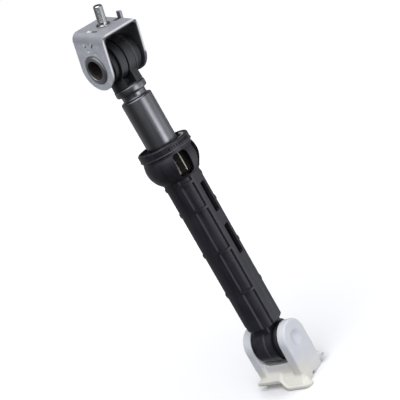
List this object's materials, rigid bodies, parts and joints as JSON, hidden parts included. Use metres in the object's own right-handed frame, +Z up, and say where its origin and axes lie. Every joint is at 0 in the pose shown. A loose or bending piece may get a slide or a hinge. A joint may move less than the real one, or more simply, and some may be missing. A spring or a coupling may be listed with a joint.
{
  "type": "washing machine shock absorber",
  "caption": "Friction strut of a washing machine: bayonet foot, plastic housing with a bulged head, sliding steel tube, and a folded steel bracket with a stud on a rubber-bushed pivot.",
  "frame": {"origin": "middle of the foot's underside, on the floor plane and below both pivots", "axes": "+Z up along the rod, +X along the lower pivot pin towards the side the picture shows on the right"},
  "size_m": [0.0465, 0.0388, 0.2848],
  "materials": {
    "white_plastic": "smooth moulded acetal, slightly milky",
    "natural_plastic": "smooth moulded acetal, natural",
    "black_plastic": "fine moulded grain, semi-matte",
    "guide_plastic": "smooth moulded",
    "carrier_plastic": "smooth moulded",
    "rubber": "moulded, slightly dull",
    "foam_lining": "greased open foam",
    "tube_steel": "dark drawn tube, satin",
    "sleeve_steel": "plain drawn tube",
    "rivet_steel": "zinc plated, rolled",
    "zinc_steel": "bright zinc plated sheet, fine grain",
    "stud_steel": "zinc plated, olive tint"
  },
  "bodies": {
    "foot": {"foot_bracket": "white_plastic", "lower_pivot_pin": "natural_plastic"},
    "housing": {"damper_housing": "black_plastic", "lower_bush_near": "rubber", "lower_bush_far": "rubber", "lower_bush_sleeve": "sleeve_steel", "mouth_guide": "guide_plastic", "lining_carrier": "carrier_plastic", "friction_lining": "foam_lining", "bottom_buffer": "rubber"},
    "rod_guide": {"rod_guide_ring": "natural_plastic"},
    "rod": {"rod_tube": "tube_steel", "rod_end_plug": "guide_plastic", "rod_head": "black_plastic", "upper_bush_near": "rubber", "upper_bush_far": "rubber"},
    "bracket": {"top_bracket": "zinc_steel", "mounting_stud": "stud_steel", "pivot_rivet": "rivet_steel", "pivot_spacer_tube": "sleeve_steel"}
  },
  "joints": [
    {"name": "lower_pivot", "type": "hinge", "parent": "foot", "child": "housing", "pos_m": [0, 0, 0.03], "axis": [1, 0, 0], "range_deg": [-60, 60]},
    {"name": "rod_slide", "type": "slide", "parent": "housing", "child": "rod_guide", "axis": [0, 0, 1], "range_m": [-0.03, 0.06]},
    {"name": "rod_swivel", "type": "hinge", "parent": "rod_guide", "child": "rod", "pos_m": [0, 0, 0.0947], "axis": [0, 0, 1], "continuous": true},
    {"name": "upper_pivot", "type": "hinge", "parent": "rod", "child": "bracket", "pos_m": [0, 0, 0.25], "axis": [0.2164, 0.9763, 0], "range_deg": [-130, 89]}
  ]
}
